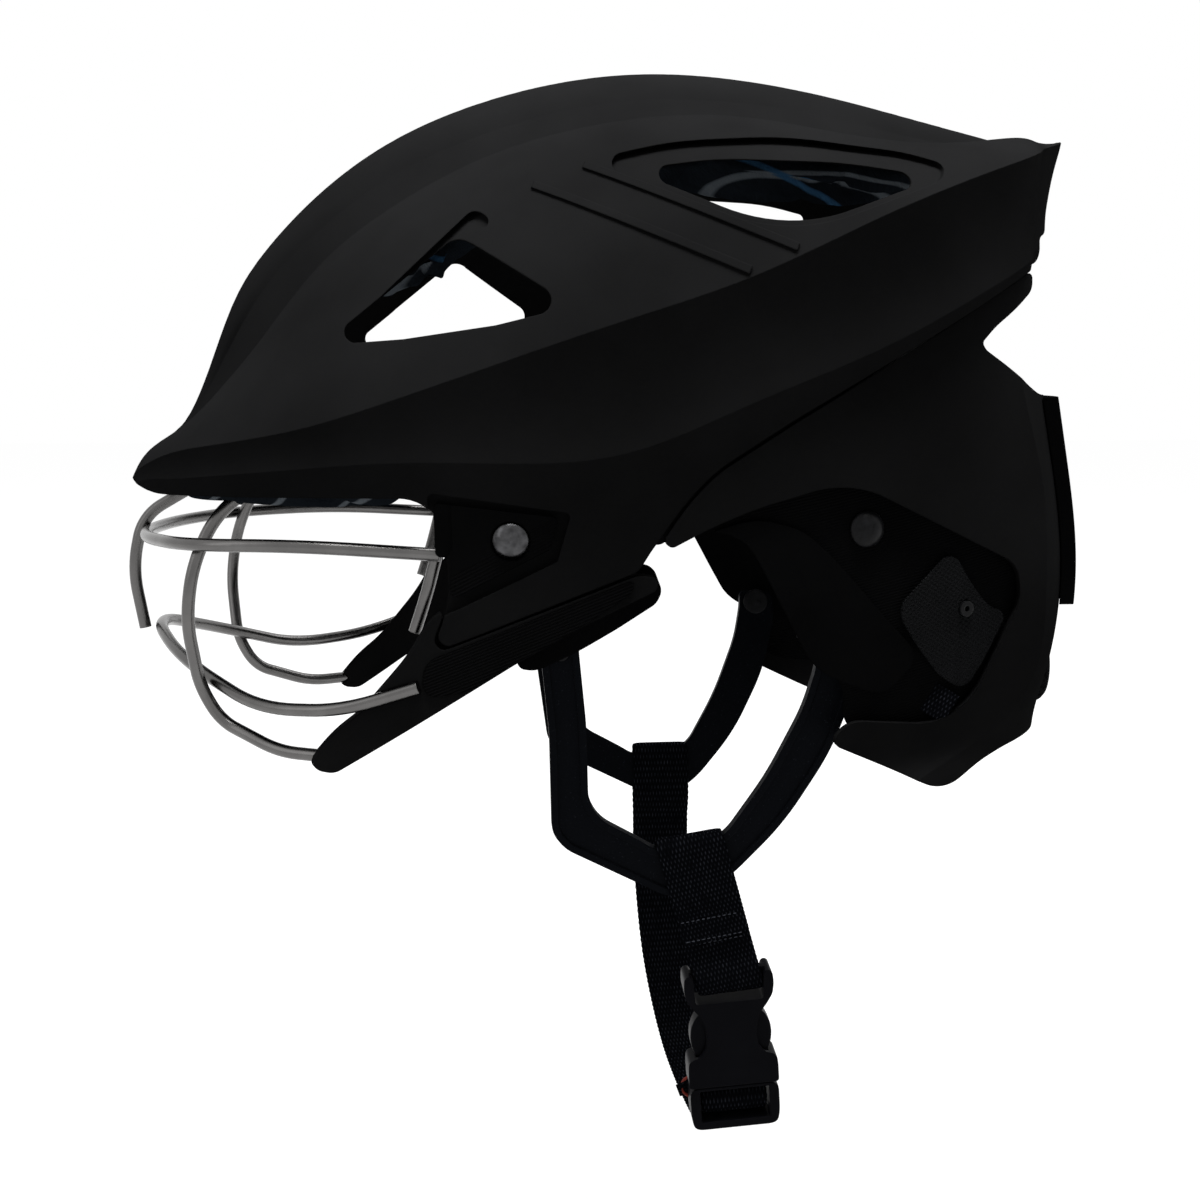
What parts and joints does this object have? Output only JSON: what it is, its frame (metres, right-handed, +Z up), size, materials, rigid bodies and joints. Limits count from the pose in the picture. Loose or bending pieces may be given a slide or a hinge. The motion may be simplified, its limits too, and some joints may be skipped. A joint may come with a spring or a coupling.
{
  "type": "lacrosse helmet",
  "caption": "Protective sports helmet with a vented shell, wire face guard, padded liner, turning fit dial and a chin harness with a side-release buckle.",
  "frame": {"origin": "middle of the head space, between the ears at brow-and-ear height", "axes": "-X towards the wearer's front, -Y towards the wearer's left, +Z up"},
  "size_m": [0.2877, 0.1904, 0.3095],
  "materials": {
    "shell_plastic": "soft-touch matte",
    "guard_plastic": "fine-textured satin",
    "bumper_rubber": "matte",
    "grip_rubber": "knurled matte",
    "wire_steel": "brushed",
    "chrome_metal": "polished",
    "dark_metal": "satin dark",
    "pad_fabric": "printed knit",
    "jaw_pad_cover": "stitched semi-gloss cover",
    "fit_plastic": "satin",
    "harness_rubber": "matte moulded",
    "webbing": "ribbed nylon",
    "buckle_plastic": "satin"
  },
  "bodies": {
    "helmet": {"crown_shell": "shell_plastic", "rear_shell": "shell_plastic", "rear_bumper": "bumper_rubber", "tab_rivets": "dark_metal", "front_rivets": "chrome_metal", "rear_rivets": "dark_metal", "brow_bar": "wire_steel", "mid_bar": "wire_steel", "centre_bar": "wire_steel", "brow_clip": "guard_plastic", "clip_screws": "dark_metal", "brow_pad": "pad_fabric", "crown_pad": "pad_fabric", "dial_housing": "fit_plastic", "nape_pad": "pad_fabric", "harness_studs": "dark_metal", "harness_left": "harness_rubber", "harness_right": "harness_rubber", "strap_left": "webbing", "strap_right": "webbing", "buckle_female": "buckle_plastic", "ear_guard_left": "guard_plastic", "ear_guard_right": "guard_plastic", "tab_left": "grip_rubber", "tab_right": "grip_rubber", "tab_strap_left": "webbing", "tab_strap_right": "webbing", "mask_plate_left": "shell_plastic", "mask_plate_right": "shell_plastic", "jaw_guard_left": "shell_plastic", "jaw_guard_right": "shell_plastic", "jaw_rail_left": "guard_plastic", "jaw_rail_right": "guard_plastic", "side_bar_left": "wire_steel", "side_bar_right": "wire_steel", "end_wire_left": "wire_steel", "end_wire_right": "wire_steel", "side_pad_left": "pad_fabric", "side_pad_right": "pad_fabric", "jaw_plate_left": "guard_plastic", "jaw_plate_right": "guard_plastic", "jaw_pad_left": "jaw_pad_cover", "jaw_pad_right": "jaw_pad_cover"},
    "dial": {"dial_pinion": "fit_plastic", "dial_knob": "grip_rubber"},
    "fit_left": {"fit_arm_left": "fit_plastic"},
    "fit_right": {"fit_arm_right": "fit_plastic"},
    "buckle_male": {"buckle_male": "buckle_plastic"},
    "prong_left": {"prong_left": "buckle_plastic"},
    "prong_right": {"prong_right": "buckle_plastic"}
  },
  "joints": [
    {"name": "fit_dial", "type": "hinge", "parent": "helmet", "child": "dial", "pos_m": [0.11, 0, -0.024], "axis": [1, 0, 0], "range_deg": [0, 76]},
    {"name": "fit_left", "type": "slide", "parent": "helmet", "child": "fit_left", "axis": [0, 1, 0], "range_m": [0, 0.006]},
    {"name": "fit_right", "type": "slide", "parent": "helmet", "child": "fit_right", "axis": [0, -1, 0], "range_m": [0, 0.006]},
    {"name": "buckle_release", "type": "slide", "parent": "helmet", "child": "buckle_male", "axis": [0.0779, 0.118, -0.99], "range_m": [0, 0.03], "deforming": ["strap_right", "prong_left", "prong_right"]},
    {"name": "prong_left_press", "type": "hinge", "parent": "buckle_male", "child": "prong_left", "pos_m": [-0.00287, -0.05784, -0.13679], "axis": [0, 0.993, 0.1184], "range_deg": [0, 12], "stiffness_Nm_per_rad": 0.3},
    {"name": "prong_right_press", "type": "hinge", "parent": "buckle_male", "child": "prong_right", "pos_m": [0.01487, -0.05801, -0.1354], "axis": [0, -0.993, -0.1184], "range_deg": [0, 12], "stiffness_Nm_per_rad": 0.3}
  ],
  "couplings": [
    {"joint": "fit_left", "follows": "fit_dial", "m_per_rad": 0.0045},
    {"joint": "fit_right", "follows": "fit_dial", "m_per_rad": 0.0045}
  ]
}
